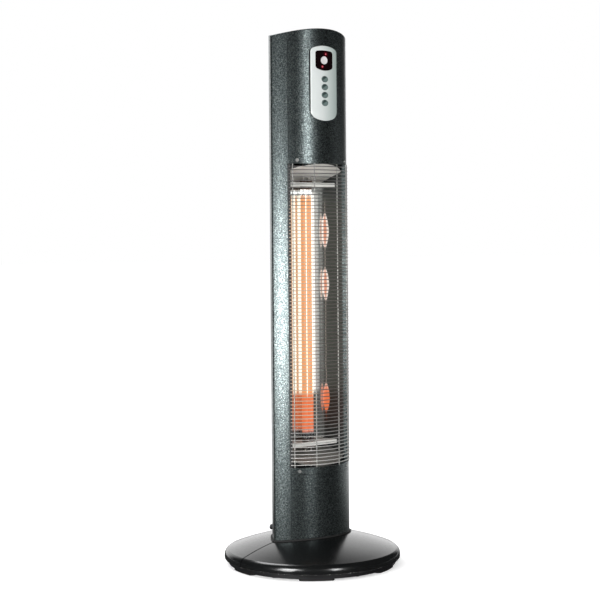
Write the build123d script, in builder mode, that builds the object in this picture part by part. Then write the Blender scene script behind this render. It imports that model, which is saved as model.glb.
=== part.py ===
from build123d import *

import os
from math import atan2, cos, degrees, radians, sin, sqrt

# Infrared patio heater tower: a lens-shaped column on a domed round base.
# Millimetres. The origin is at the centre of the base on the floor, +Z is up and the
# heating side faces -Y. Angles round the column's front are measured from straight
# ahead, positive towards +X, about the centre line of the front arc.

os.makedirs("parts", exist_ok=True)

# ---------------------------------------------------------------- driving dimensions
# Clearances and fastenings
fit = 0.1             # pieces that are seated on each other
gap = 0.3             # pieces that move past each other
joint = 0.5           # shown joint between two panels
screw_head = 2.0      # radius of a screw's head over its shank's
drill_l = 48.0        # longer than any wall is thick, shorter than the column is deep

# Column plan: a front arc and a rear arc that meet at the two side corners, Y = 0
front_r = 96.0        # radius of the front face
front_y = 45.0        # centre line of the front arc
back_y = 59.5         # the column's rearmost point
corner_round = 5.0
skin = 1.6            # painted sheet steel
return_depth = 8.0    # sheet edges turned inwards beside the front panels

# Heights of the column
cap_seam_z = 939.0    # joint under the top cap
cap_side_h = 8.0      # cap over its joint at the side corners
cap_crown_h = 21.0    # cap over its joint in the middle
cap_wall = 2.5
cap_edge = 1.2        # rounding of the cap's upper edge
skirt_h = 12.0        # the cap reaches this far down inside the column
opening_low_z = 180.0
opening_drop = 220.0  # the opening's top edge under the cap's joint
band_h = 12.0         # bands over and under the opening
band_lip = 12.0       # their lips, turned in at the opening
front_half_angle = 43.2   # front panels reach this far round on each side

# Base
base_r = 158.5
dome_r = 420.0        # radius of the base's domed top
shoulder_z = 28.3     # height of the dome's outer edge
rim_w = 6.0           # width of the rounded rim outside the dome
waist_z = 17.5        # the rim is upright below this height
base_wall = 3.0
shell_low_z = 13.0    # underside of the two base halves
half_joint = 2.6      # shown joint between the halves
foot_count = 6
foot_h = 3.5
foot_w = 14.0
foot_l = 62.0         # along the base's edge
foot_inset = 15.5     # from the base's edge to the middle of the pads and screws
foot_start = -5.0     # angle of the first pad from +X
tray_inset = 7.5
tray_lip_inset = 1.5  # the tray's lip closes the gap under the rim
tray_floor = 2.0
tray_wall = 2.2
ballast_inset = 24.0
ballast_h = 14.0
base_screw_r = 2.0
base_screw_bite = 14.0
boss_r = 5.0
gasket_w = 3.0
gasket_h = 2.2
bolt_r = 3.0
bolt_places = ((-62.0, -4.0), (62.0, -4.0), (-36.0, 38.0), (36.0, 38.0))
bolt_bite = 10.0
bolt_head_h = 4.0

# Guard in front of the opening
guard_proud = 2.0     # from the column's front to the middle of the cross wires
cross_wire = 1.5      # diameter
cross_pitch = 6.3
upright_wire = 2.0    # diameter
upright_angles = (-39.0, -15.3, 15.3, 39.0)
weld = 0.3            # depth of the welds where wires cross
rail_over = 2.3       # angles that each dark edge rail covers, before and past the joint
rail_past = 0.9
wire_end_turn = 0.6   # the cross wires stop this far before the joint
guard_screw_angle = 34.0
guard_screw_r = 1.5
guard_clip_t = 2.0
guard_clip_h = 8.0
guard_clip_turn = 4.0 # the clips reach past their screws by this angle

# Reflector and lamps
reflector_sheet = 1.2
back_half_w = 50.0    # half the reflector's flat back
back_wall_y = 26.5    # front face of that back
lip_inset = 9.0       # from the column's front to the inner end of the reflector's front lips
lip_turn = 0.3        # angle from the shell's returns to those lips
end_rise = 28.0       # how far the end plates slope in towards the back
end_inset = 10.0      # from the column's front to the end plates' front edges
lamp_x = 6.5
lamp_y = 10.0
tube_r = 5.2
tube_wall = 1.0
bracket_high_drop = 39.0  # upper bracket under the opening's top edge
bracket_low_rise = 38.0   # lower bracket over its bottom edge
bracket_half_depth = 12.0
bracket_lip = 7.0
hot_margin_high = 16.0    # from the upper bracket to the glowing strips
hot_margin_low = 19.0
filament_w = 5.0
filament_t = 0.8
lamp_cap_r = 6.3      # ceramic lamp ends
lamp_cap_l = 11.0
lamp_socket_l = 7.7   # depth that the tubes go into them, beyond the bracket
lamp_collar_r = 5.9   # their collars, which show on the lamps' side of the brackets
lamp_collar_l = 4.5
lead_r = 1.5
cutout_r = 8.0        # thermal cut-out on the reflector's back
cutout_h = 9.0
cutout_ears = 27.0    # length over its fixing ears
cutout_tab_l = 16.0   # height of its terminals over the reflector
cutout_tab = (1.0, 4.0)
cutout_x = 26.0
cutout_drop = 79.0    # under the opening's top edge

# Control panel
panel_x = -4.0        # the control panel sits this far to the left of the middle
fascia_half_w = 29.5
fascia_face_r = 160.0 # its face is flatter than the column
fascia_drop = 10.0    # top of the fascia under the cap's joint
fascia_h = 133.5
fascia_bow = 7.0      # rise of its top edge in the middle
fascia_tail = 9.0     # fall of its bottom edge in the middle
fascia_top_round = 8.0
fascia_low_round = 15.0
fascia_proud = 1.6
fascia_edge = 0.8
window_half_w = 19.4
window_drop = 8.3     # these drops are all from the top of the fascia
window_h = 36.0
window_bow = 2.0      # rise of its top edge in the middle
window_tail = 5.0     # fall of its bottom edge
window_round = 4.5
window_edge = 0.7     # bevel of the fascia round it
window_t = 1.5
window_flange = 1.5
power_r = 7.0
power_proud = 0.8     # over the window
power_drop = 25.8
light_r = 1.4
light_places = ((3.8, 14.6), (-3.6, 37.3))  # sideways from the panel's middle, and drop
key_count = 4
key_w = 14.2
key_h = 10.8
key_pitch = 14.1
key_drop = 59.6
dish_r = 20.0         # hollow in the face of every button
dish_depth = 0.7
key_proud = 0.2       # over the fascia
button_flange = 1.2
button_flange_t = 1.2
stem_r = 2.5
travel = 0.8          # of every button
panel_hole_half_w = 22.0
panel_hole_drop = 4.0
panel_hole_h = 110.0
board_inset = 10.0    # from the column's front to the front of the control board
board_t = 1.6
board_half_w = 28.0
board_overlap = 3.0   # the board reaches past the panel's hole
post_r = 2.5
switch_w = 6.0
switch_d = 3.5
actuator_r = 1.75
actuator_l = 1.2

# Inside the column
inner_front_y = -12.0     # plates inside the column stop short of the front returns
baffle_t = 1.2
baffle_room = 24.0        # from the opening to each baffle
foot_plate_t = 3.0
foot_plate_h = 22.0
power_board_half_w = 45.0
power_board_y = (-8.0, 41.0)
power_post_h = 8.0
relay_size = (15.0, 19.0, 15.0)
relay_x = 28.0
relay_y = 6.0
core_size = (30.0, 12.5, 24.0)
coil_size = (18.0, 25.0, 18.0)
transformer_y = 24.0
block_size = (50.0, 24.0, 20.0)
block_y = 14.0
block_poles = 5
block_pitch = 10.0
block_rows = 18.0     # between its two rows of wire holes
loom_r = 4.0
loom_y = 36.0
loom_bend = 9.0
clip_rises = (60.0, 270.0, 420.0)     # over the opening's bottom edge
clip_wall = 1.4
clip_h = 8.0
ribbon_w = 20.0
ribbon_t = 1.0
ribbon_leave_h = 45.0 # over the baffle, where the ribbon leaves the control board
column_screw_r = 1.5
column_screw_turn = 20.0  # round the rear arc, on each side
return_screw_rises = (40.5, 110.5)    # over the column's foot
return_screw_drops = (164.0, 34.0)    # under the cap's joint

# Tip-over switch
tilt_inset = 39.8     # from the column's side corner
tilt_y = 14.0
tilt_w = 26.0
tilt_d = 16.0
tilt_h = 36.0
tilt_wall = 1.6
tilt_pin_r = 1.5
tilt_arm = 20.0
tilt_bob_r = 4.0
tilt_bob_l = 8.0
tilt_eye_r = 3.2

# Cable gland
gland_turn = -30.0    # round the rear arc, from straight back towards -X
gland_z = 62.0
gland_flange_r = 6.2
gland_flange_t = 1.5
gland_neck_r = 5.0
gland_neck_l = 9.0
gland_boot_l = 12.0
gland_tip_r = 4.2
gland_bore_r = 3.2
gland_nut_r = 8.0
gland_nut_t = 4.0
gland_ribs = 3
mains_r = 3.0
mains_straight = 22.5 # from the rear sheet to the lead's first bend
mains_end_l = 13.5    # straight end at the terminal block
mains_bend = 6.9

# ---------------------------------------------------------------- derived places
corner_x = sqrt(front_r**2 - front_y**2)
back_r = (corner_x**2 + back_y**2) / (2 * back_y)
back_centre_y = back_y - back_r
cap_rise = cap_crown_h - cap_side_h
cap_top_r = (corner_x**2 + cap_rise**2) / (2 * cap_rise)
total_h = cap_seam_z + cap_crown_h
rim_r = base_r - rim_w
tray_r = base_r - tray_inset
tray_lip_r = base_r - tray_lip_inset
ballast_r = base_r - ballast_inset
foot_ring_r = base_r - foot_inset
boss_ring_r = foot_ring_r
opening_high_z = cap_seam_z - opening_drop
bracket_high_z = opening_high_z - bracket_high_drop
bracket_low_z = opening_low_z + bracket_low_rise
hot_high_z = bracket_high_z - hot_margin_high
hot_low_z = bracket_low_z + hot_margin_low
fascia_top_z = cap_seam_z - fascia_drop
fascia_low_z = fascia_top_z - fascia_h
window_top_z = fascia_top_z - window_drop
window_low_z = window_top_z - window_h
power_z = fascia_top_z - power_drop
light_centres = [(panel_x + aside, fascia_top_z - drop) for aside, drop in light_places]
key_zs = [fascia_top_z - key_drop - n * key_pitch for n in range(key_count)]
panel_hole_high_z = fascia_top_z - panel_hole_drop
panel_hole_low_z = panel_hole_high_z - panel_hole_h
dome_centre_z = shoulder_z - sqrt(dome_r**2 - rim_r**2)
dome_top_z = dome_centre_z + dome_r
guard_r = front_r + guard_proud
lip_r = front_r - lip_inset
end_front_y = front_y - front_r + end_inset
board_y = front_y - front_r + board_inset
tilt_x = corner_x - tilt_inset
band_top_z = opening_high_z + band_h
band_foot_z = opening_low_z - band_h
tray_z = foot_h
ballast_z = tray_z + tray_floor
column_low_z = ballast_z + ballast_h
return_screw_zs = ([column_low_z + rise for rise in return_screw_rises]
                   + [cap_seam_z - drop for drop in return_screw_drops])
plate_top_z = column_low_z + foot_plate_t
sheet_in = front_r - skin
return_r = front_r - return_depth
skin_turn = degrees(skin / front_r)
joint_turn = degrees(joint / front_r)
shell_turn = front_half_angle + joint_turn           # rear shell starts here
shell_return_turn = shell_turn + skin_turn
lip_start_turn = shell_return_turn + lip_turn
foot_turn = degrees((foot_l - foot_w) / foot_ring_r)
boss_start = foot_start + 180 / foot_count
wire_half_angle = shell_turn - wire_end_turn
fascia_in = front_r + fit
fascia_front_y = front_y - front_r - fascia_proud
key_front_y = fascia_front_y - key_proud
power_front_y = front_y - front_r - power_proud
window_in = front_r - window_t
return_screw_l = 2 * skin + joint + 1.0
actuator_y = board_y - switch_d - actuator_l
stem_y = actuator_y - travel - fit
board_low_z = panel_hole_low_z - board_overlap
board_high_z = panel_hole_high_z + board_overlap
boss_top_z = dome_centre_z + sqrt((dome_r - base_wall / 2) ** 2 - (boss_ring_r + boss_r) ** 2)
block_top_z = plate_top_z + block_size[2]
upper_baffle_z = opening_high_z + baffle_room
lower_baffle_z = opening_low_z - baffle_room
power_board_z = upper_baffle_z + baffle_t + power_post_h
roomy = 3 * base_r    # wider than anything that it trims


def front_point(radius, angle):
    """X and Y of a point on an arc about the front's centre line."""
    return (radius * sin(radians(angle)), front_y - radius * cos(radians(angle)))


def front_plane(radius, angle, z):
    """Plane on the front arc, facing outwards, its Y axis up."""
    turn = radians(angle)
    return Plane(origin=(*front_point(radius, angle), z), x_dir=(cos(turn), sin(turn), 0),
                 z_dir=(sin(turn), -cos(turn), 0))


def return_plane(side, z):
    """Plane on a front panel's turned-in edge, facing along the arc away from the middle."""
    turn = radians(side * (front_half_angle - skin_turn))
    x, y = front_point((return_r + sheet_in) / 2, side * (front_half_angle - skin_turn))
    return Plane(origin=(x, y, z), z_dir=(side * cos(turn), side * sin(turn), 0))


def back_plane(z, turn=0.0, inwards=0.0):
    """Plane on the rear face, facing outwards, moved inwards along its own axis."""
    out_x = sin(radians(turn))
    out_y = cos(radians(turn))
    reach = back_r - inwards
    return Plane(origin=(reach * out_x, back_centre_y + reach * out_y, z), z_dir=(out_x, out_y, 0))


def column_plan(grow=0.0):
    """The column's plan, grown or shrunk all round, in the sketch in hand."""
    with Locations((0, front_y)):
        Circle(front_r + grow)
    with Locations((0, back_centre_y)):
        Circle(back_r + grow, mode=Mode.INTERSECT)
    fillet(vertices(), max(corner_round + grow, skin))


def front_strip(r_in, r_out, a_from, a_to):
    """A strip of the front's ring between two angles, in the sketch in hand."""
    with BuildLine() as outline:
        outer = CenterArc((0, front_y), r_out, 270 + a_from, a_to - a_from)
        inner = CenterArc((0, front_y), r_in, 270 + a_from, a_to - a_from)
        Line(outer @ 0, inner @ 0)
        Line(outer @ 1, inner @ 1)
    make_face(outline.edges())


def reflector_plan(inset=0.0, front=end_front_y):
    """The inside of the reflector between its side walls, in the sketch in hand."""
    lip_x, lip_y = front_point(lip_r, lip_start_turn)
    flare = (lip_x - back_half_w) / (back_wall_y - lip_y)
    wide = back_half_w + flare * (back_wall_y - front) - inset
    narrow = back_half_w - inset
    with BuildLine() as outline:
        Polyline((-narrow, back_wall_y - inset), (narrow, back_wall_y - inset),
                 (wide, front), (-wide, front), close=True)
    make_face(outline.edges())


def keep_behind(y):
    """Trim the sketch in hand to what lies behind a line."""
    with Locations((0, y)):
        Rectangle(roomy, roomy, align=(Align.CENTER, Align.MIN), mode=Mode.INTERSECT)


def inside_plate(low_z, thickness):
    """A flat plate across the column, behind the front panels' edges."""
    with BuildPart() as plate:
        with BuildSketch(Plane.XY.offset(low_z)):
            column_plan(-skin - fit)
            keep_behind(inner_front_y)
        extrude(amount=thickness)
    return plate


def save(piece, label):
    """Name a finished piece and write it."""
    piece.part.label = label
    export_step(piece.part, f"parts/{label}.step")


# ================================================================ base
def rim_profile(inset=0.0):
    """Half section of the base's cover, moved in by a wall, in the sketch in hand."""
    side = base_r - inset
    top = dome_r - inset
    knee_r = rim_r - inset
    knee_z = dome_centre_z + sqrt(top**2 - knee_r**2)
    half_z = dome_centre_z + sqrt(top**2 - (knee_r / 2) ** 2)
    rim_round = ((side - knee_r) ** 2 + (knee_z - waist_z) ** 2) / (2 * (side - knee_r))
    turn = degrees(atan2(knee_z - waist_z, knee_r - side + rim_round))
    with BuildLine() as outline:
        dome = ThreePointArc((0, dome_centre_z + top), (knee_r / 2, half_z), (knee_r, knee_z))
        rim = CenterArc((side - rim_round, waist_z), rim_round, turn, -turn)
        skirt = Line(rim @ 1, (side, shell_low_z))
        floor = Line(skirt @ 1, (0, shell_low_z))
        Line(floor @ 1, dome @ 0)
    make_face(outline.edges())


def base_half(side):
    """One half of the domed cover, in front of or behind the joint."""
    with BuildPart() as half:
        with BuildSketch(Plane.XZ):
            rim_profile()
        revolve(axis=Axis.Z)
        with BuildSketch(Plane.XZ):
            rim_profile(base_wall)
        revolve(axis=Axis.Z, mode=Mode.SUBTRACT)
        with BuildSketch(Plane.XY.offset(shell_low_z)):
            with PolarLocations(boss_ring_r, foot_count, start_angle=boss_start):
                Circle(boss_r)
        extrude(amount=boss_top_z - shell_low_z)
        with BuildSketch(Plane.XY.offset(shell_low_z)):
            with PolarLocations(boss_ring_r, foot_count, start_angle=boss_start):
                Circle(base_screw_r)
        extrude(amount=base_screw_bite - (shell_low_z - tray_z), mode=Mode.SUBTRACT)
        with BuildSketch(Plane.XY.offset(shell_low_z)):
            column_plan(gap)
        extrude(amount=dome_top_z, mode=Mode.SUBTRACT)
        with Locations((0, side * half_joint / 2, 0)):
            Box(roomy, roomy, roomy, mode=Mode.INTERSECT,
                align=(Align.CENTER, Align.MIN if side > 0 else Align.MAX, Align.CENTER))
    return half


save(base_half(-1), "base_front_half")
save(base_half(1), "base_rear_half")

# Steel tray that closes the base from below, with a lip under the rim and raised seats for its screws
with BuildPart() as base_tray:
    with BuildSketch(Plane.XY.offset(tray_z)):
        Circle(tray_r)
    extrude(amount=shell_low_z - tray_z)
    with BuildSketch(Plane.XY.offset(shell_low_z - tray_floor)):
        Circle(tray_lip_r)
    extrude(amount=tray_floor)
    with BuildSketch(Plane.XY.offset(ballast_z)):
        Circle(tray_r - tray_wall)
    extrude(amount=shell_low_z, mode=Mode.SUBTRACT)
    with BuildSketch(Plane.XY.offset(tray_z)):
        with PolarLocations(boss_ring_r, foot_count, start_angle=boss_start):
            Circle(boss_r)
    extrude(amount=shell_low_z - tray_z)
    with BuildSketch(Plane.XY.offset(tray_z)):
        with PolarLocations(boss_ring_r, foot_count, start_angle=boss_start):
            Circle(base_screw_r + gap)
    extrude(amount=shell_low_z, mode=Mode.SUBTRACT)
save(base_tray, "base_tray")

with BuildPart() as base_screws:
    with BuildSketch(Plane.XY.offset(tray_z)):
        with PolarLocations(boss_ring_r, foot_count, start_angle=boss_start):
            Circle(base_screw_r)
    extrude(amount=base_screw_bite)
    with BuildSketch(Plane.XY.offset(tray_z)):
        with PolarLocations(boss_ring_r, foot_count, start_angle=boss_start):
            Circle(screw_head * base_screw_r)
    extrude(amount=-base_screw_r)
save(base_screws, "base_screws")

# Curved rubber pads, one beside each screw
with BuildPart() as foot_pads:
    with BuildSketch():
        with PolarLocations(0, foot_count, start_angle=foot_start):
            SlotArc(CenterArc((0, 0), foot_ring_r, -foot_turn / 2, foot_turn), foot_w)
    extrude(amount=foot_h)
save(foot_pads, "foot_pads")

# Cast weight on the tray, which the column stands on
with BuildPart() as ballast:
    with BuildSketch(Plane.XY.offset(ballast_z)):
        Circle(ballast_r)
    extrude(amount=ballast_h)
    with BuildSketch(Plane.XY.offset(column_low_z)):
        with Locations(*bolt_places):
            Circle(bolt_r)
    extrude(amount=-bolt_bite, mode=Mode.SUBTRACT)
save(ballast, "ballast")

# Rubber lip on the dome, round the column
with BuildPart() as column_gasket:
    with BuildSketch(Plane.XY.offset(shell_low_z)):
        column_plan(gap + gasket_w)
    extrude(amount=2 * dome_top_z)
    with BuildSketch(Plane.XY.offset(shell_low_z)):
        column_plan(gap)
    extrude(amount=2 * dome_top_z, mode=Mode.SUBTRACT)
    with Locations((0, 0, dome_centre_z)):
        Sphere(dome_r + gasket_h, mode=Mode.INTERSECT)
        Sphere(dome_r + fit, mode=Mode.SUBTRACT)
save(column_gasket, "column_gasket")

# ================================================================ column
# Steel foot plate with an upstand that the column is screwed to
with BuildPart() as column_foot:
    with BuildSketch(Plane.XY.offset(column_low_z)):
        column_plan(-skin - fit)
        keep_behind(inner_front_y)
    extrude(amount=foot_plate_h)
    with BuildSketch(Plane.XY.offset(plate_top_z)):
        column_plan(-skin - fit - foot_plate_t)
    extrude(amount=foot_plate_h, mode=Mode.SUBTRACT)
    with BuildSketch(Plane.XY.offset(column_low_z)):
        with Locations(*bolt_places):
            Circle(bolt_r + gap)
    extrude(amount=foot_plate_t, mode=Mode.SUBTRACT)
    for side in (-1, 1):
        with Locations(back_plane(column_low_z + foot_plate_h / 2, side * column_screw_turn)):
            Cylinder(column_screw_r, drill_l, mode=Mode.SUBTRACT)
save(column_foot, "column_foot")

with BuildPart() as column_bolts:
    with BuildSketch(Plane.XY.offset(plate_top_z)):
        with Locations(*bolt_places):
            RegularPolygon(screw_head * bolt_r, 6)
    extrude(amount=bolt_head_h)
    with BuildSketch(Plane.XY.offset(plate_top_z)):
        with Locations(*bolt_places):
            Circle(bolt_r)
    extrude(amount=-foot_plate_t - bolt_bite)
save(column_bolts, "column_bolts")


column_screw_z = column_low_z + foot_plate_h / 2
cap_screw_z = cap_seam_z - joint - skirt_h / 2

# Round-headed screws through the rear sheet, into the foot and the cap's skirt
with BuildPart() as back_screws:
    for z in (column_screw_z, cap_screw_z):
        for side in (-1, 1):
            with Locations(back_plane(z, side * column_screw_turn)):
                Cylinder(column_screw_r, skin + fit + foot_plate_t,
                         align=(Align.CENTER, Align.CENTER, Align.MAX))
                Cylinder(screw_head * column_screw_r, column_screw_r,
                         align=(Align.CENTER, Align.CENTER, Align.MIN))
save(back_screws, "back_screws")

# Sides and back in one sheet, its two front edges turned inwards
with BuildPart() as rear_shell:
    with BuildSketch(Plane.XY.offset(column_low_z)):
        column_plan()
    extrude(amount=cap_seam_z - joint - column_low_z)
    with BuildSketch(Plane.XY.offset(column_low_z)):
        column_plan(-skin)
    extrude(amount=cap_seam_z, mode=Mode.SUBTRACT)
    with BuildSketch(Plane.XY.offset(column_low_z)):
        front_strip(return_r / 2, front_r + skin, -shell_turn, shell_turn)
    extrude(amount=cap_seam_z, mode=Mode.SUBTRACT)
    with BuildSketch(Plane.XY.offset(column_low_z)):
        for side in (-1, 1):
            front_strip(return_r, front_r, side * shell_turn, side * shell_return_turn)
    extrude(amount=cap_seam_z - joint - column_low_z)
    for z in return_screw_zs:
        for side in (-1, 1):
            with Locations(return_plane(side, z)):
                Cylinder(column_screw_r, 2 * return_screw_l, mode=Mode.SUBTRACT)
    for z in (column_screw_z, cap_screw_z):
        for side in (-1, 1):
            with Locations(back_plane(z, side * column_screw_turn)):
                Cylinder(column_screw_r, 4 * skin, mode=Mode.SUBTRACT)
    with Locations(back_plane(gland_z, gland_turn)):
        Cylinder(gland_neck_r + fit, 4 * skin, mode=Mode.SUBTRACT)
save(rear_shell, "rear_shell")


def front_panel(low_z, high_z):
    """A front sheet between two heights, its side edges turned inwards."""
    with BuildPart() as panel:
        with BuildSketch(Plane.XY.offset(low_z)):
            front_strip(sheet_in, front_r, -front_half_angle, front_half_angle)
            for side in (-1, 1):
                front_strip(return_r, front_r, side * (front_half_angle - skin_turn),
                            side * front_half_angle)
        extrude(amount=high_z - low_z)
        for z in return_screw_zs:
            if low_z < z < high_z:
                for side in (-1, 1):
                    with Locations(return_plane(side, z)):
                        Cylinder(column_screw_r, 4 * skin, mode=Mode.SUBTRACT)
    return panel


save(front_panel(column_low_z, band_foot_z - joint), "lower_front_panel")

with BuildPart() as upper_front_panel:
    add(front_panel(band_top_z + joint, cap_seam_z - joint).part)
    with Locations((panel_x, front_y - front_r, (panel_hole_low_z + panel_hole_high_z) / 2)):
        Box(2 * panel_hole_half_w, 2 * return_depth, panel_hole_high_z - panel_hole_low_z,
            mode=Mode.SUBTRACT)
save(upper_front_panel, "upper_front_panel")

with BuildPart() as panel_screws:
    for z in return_screw_zs:
        for side in (-1, 1):
            with Locations(return_plane(side, z)):
                Cylinder(column_screw_r, return_screw_l, align=(Align.CENTER, Align.CENTER, Align.MIN))
                Cylinder(screw_head * column_screw_r, column_screw_r,
                         align=(Align.CENTER, Align.CENTER, Align.MAX))
save(panel_screws, "panel_screws")


def opening_band(low_z, lip_z):
    """A band across the front with a lip turned in at the opening's edge."""
    with BuildPart() as band:
        with BuildSketch(Plane.XY.offset(low_z)):
            front_strip(sheet_in, front_r, -front_half_angle, front_half_angle)
        extrude(amount=band_h)
        with BuildSketch(Plane.XY.offset(lip_z)):
            front_strip(front_r - band_lip, front_r, -front_half_angle, front_half_angle)
        extrude(amount=skin)
        for side in (-1, 1):
            with Locations(front_plane(front_r, side * guard_screw_angle, low_z + band_h / 2)):
                Cylinder(guard_screw_r + fit, 4 * skin, mode=Mode.SUBTRACT)
    return band


save(opening_band(opening_high_z, opening_high_z), "upper_band")
save(opening_band(band_foot_z, opening_low_z - skin), "lower_band")

guard_screw_zs = (band_foot_z + band_h / 2, opening_high_z + band_h / 2)

# Clips behind the bands, welded to the shell's turned-in edges
with BuildPart() as guard_clips:
    for z in guard_screw_zs:
        with BuildSketch(Plane.XY.offset(z - guard_clip_h / 2)):
            for side in (-1, 1):
                front_strip(sheet_in - fit - guard_clip_t, sheet_in - fit,
                            side * (guard_screw_angle - guard_clip_turn), side * shell_turn)
        extrude(amount=guard_clip_h)
        for side in (-1, 1):
            with Locations(front_plane(front_r, side * guard_screw_angle, z)):
                Cylinder(guard_screw_r, drill_l, mode=Mode.SUBTRACT)
save(guard_clips, "guard_clips")

with BuildPart() as guard_screws:
    for z in guard_screw_zs:
        for side in (-1, 1):
            with Locations(front_plane(front_r, side * guard_screw_angle, z)):
                Cylinder(guard_screw_r, skin + fit + guard_clip_t,
                         align=(Align.CENTER, Align.CENTER, Align.MAX))
                Cylinder(screw_head * guard_screw_r, guard_screw_r,
                         align=(Align.CENTER, Align.CENTER, Align.MIN))
    for z in guard_screw_zs:
        for side in (-1, 1):
            with Locations(front_plane(front_r + guard_screw_r, side * guard_screw_angle, z)):
                Box(2 * guard_screw_r, guard_screw_r / 3, guard_screw_r, mode=Mode.SUBTRACT)
                Box(guard_screw_r / 3, 2 * guard_screw_r, guard_screw_r, mode=Mode.SUBTRACT)
save(guard_screws, "guard_screws")

# Arched cap with a skirt inside the column
with BuildPart() as cap_room:
    with BuildSketch(Plane.XY.offset(cap_seam_z)):
        column_plan(-cap_wall)
    extrude(amount=2 * cap_crown_h)
    with Locations((0, 0, total_h - cap_top_r)):
        Cylinder(cap_top_r - cap_wall, roomy, rotation=(90, 0, 0), mode=Mode.INTERSECT)

with BuildPart() as top_cap:
    with BuildSketch(Plane.XY.offset(cap_seam_z)):
        column_plan()
    extrude(amount=2 * cap_crown_h)
    with Locations((0, 0, total_h - cap_top_r)):
        Cylinder(cap_top_r, roomy, rotation=(90, 0, 0), mode=Mode.INTERSECT)
    fillet(faces().sort_by(Axis.Z)[-1].edges(), cap_edge)
    add(cap_room.part, mode=Mode.SUBTRACT)
    with BuildSketch(Plane.XY.offset(cap_seam_z - skirt_h)):
        column_plan(-skin - fit)
        keep_behind(inner_front_y)
    extrude(amount=skirt_h + cap_wall)
    with BuildSketch(Plane.XY.offset(cap_seam_z - skirt_h)):
        front_strip(sheet_in - fit - cap_wall, sheet_in - fit, -guard_screw_angle, guard_screw_angle)
    extrude(amount=skirt_h + cap_wall)
    with BuildSketch(Plane.XY.offset(cap_seam_z - skirt_h)):
        column_plan(-skin - fit - cap_wall)
        keep_behind(inner_front_y - skin)
    extrude(amount=skirt_h + cap_wall, mode=Mode.SUBTRACT)
    for side in (-1, 1):
        with Locations(back_plane(cap_screw_z, side * column_screw_turn)):
            Cylinder(column_screw_r, drill_l, mode=Mode.SUBTRACT)
save(top_cap, "top_cap")

# ================================================================ guard
wire_count = int((opening_high_z - opening_low_z - cross_wire) / cross_pitch)
wire_low_z = (opening_low_z + opening_high_z - (wire_count - 1) * cross_pitch) / 2

with BuildPart() as cross_wire_one:
    with BuildLine(Plane.XY.offset(wire_low_z)) as wire_path:
        CenterArc((0, front_y), guard_r, 270 - wire_half_angle, 2 * wire_half_angle)
    with BuildSketch(Plane(origin=wire_path.line @ 0, z_dir=wire_path.line % 0)):
        Circle(cross_wire / 2)
    sweep()

with BuildPart() as guard_cross_wires:
    with Locations(*[(0, 0, n * cross_pitch) for n in range(wire_count)]):
        add(cross_wire_one.part)
save(guard_cross_wires, "guard_cross_wires")

upright_r = guard_r - cross_wire / 2 - upright_wire / 2 + weld
with BuildPart() as guard_uprights:
    with BuildSketch(Plane.XY.offset(opening_low_z)):
        with Locations(*[front_point(upright_r, angle) for angle in upright_angles]):
            Circle(upright_wire / 2)
    extrude(amount=opening_high_z - opening_low_z)
save(guard_uprights, "guard_uprights")

# Dark rails over the joint beside the opening, which the wires' ends are welded to
with BuildPart() as guard_rails:
    with BuildSketch(Plane.XY.offset(opening_low_z)):
        for side in (-1, 1):
            front_strip(front_r + fit, guard_r - cross_wire / 2, side * (shell_turn - rail_over),
                        side * (shell_turn + rail_past))
    extrude(amount=opening_high_z - opening_low_z)
save(guard_rails, "guard_rails")

# ================================================================ reflector and lamps
lamp_places = ((-lamp_x, lamp_y), (lamp_x, lamp_y))
lip_y = front_point(lip_r, lip_start_turn)[1]
sheet_turn = degrees(reflector_sheet / lip_r)

with BuildPart() as reflector:
    with BuildSketch(Plane.XY.offset(opening_low_z)):
        reflector_plan(-reflector_sheet, lip_y)
    extrude(amount=opening_high_z - opening_low_z)
    with BuildSketch(Plane.XY.offset(opening_low_z)):
        reflector_plan(0)
    extrude(amount=opening_high_z - opening_low_z, mode=Mode.SUBTRACT)
    with BuildSketch(Plane.XY.offset(opening_low_z)):
        for side in (-1, 1):
            front_strip(lip_r, sheet_in - gap, side * lip_start_turn,
                        side * (lip_start_turn + sheet_turn))
    extrude(amount=opening_high_z - opening_low_z)
save(reflector, "reflector")


def end_plate(up):
    """Plate that closes the reflector at one end, sloping in towards the back."""
    front_z = opening_high_z if up > 0 else opening_low_z
    back_z = front_z - up * end_rise
    thick = up * reflector_sheet
    with BuildPart() as plate:
        with BuildSketch():
            reflector_plan(fit)
            with Locations((0, front_y)):
                Circle(front_r - band_lip + skin, mode=Mode.INTERSECT)
        extrude(amount=total_h)
        with BuildSketch(Plane.YZ):
            with BuildLine():
                Polyline((end_front_y, front_z), (back_wall_y, back_z), (back_wall_y, back_z - thick),
                         (end_front_y, front_z - thick), close=True)
            make_face()
        extrude(amount=roomy, both=True, mode=Mode.INTERSECT)
        with BuildSketch():
            with Locations(*lamp_places):
                Circle(lead_r + 2 * gap)
        extrude(amount=total_h, mode=Mode.SUBTRACT)
    return plate


save(end_plate(1), "reflector_top_plate")
save(end_plate(-1), "reflector_bottom_plate")


def lamp_bracket(seat_z, up):
    """Angle across the reflector that carries one end of the lamps."""
    with BuildPart() as bracket:
        with BuildSketch(Plane.XY.offset(seat_z)):
            reflector_plan(fit)
            with Locations((0, lamp_y)):
                Rectangle(roomy, 2 * bracket_half_depth, mode=Mode.INTERSECT)
        extrude(amount=up * bracket_lip)
        with BuildSketch(Plane.XY.offset(seat_z + up * reflector_sheet)):
            with Locations((0, lamp_y + reflector_sheet)):
                Rectangle(roomy, 2 * bracket_half_depth)
        extrude(amount=up * bracket_lip, mode=Mode.SUBTRACT)
        with BuildSketch(Plane.XY.offset(seat_z)):
            with Locations(*lamp_places):
                Circle(lamp_collar_r + fit)
        extrude(amount=up * bracket_lip, mode=Mode.SUBTRACT)
    return bracket


save(lamp_bracket(bracket_high_z, 1), "lamp_bracket_top")
save(lamp_bracket(bracket_low_z, -1), "lamp_bracket_bottom")

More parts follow.
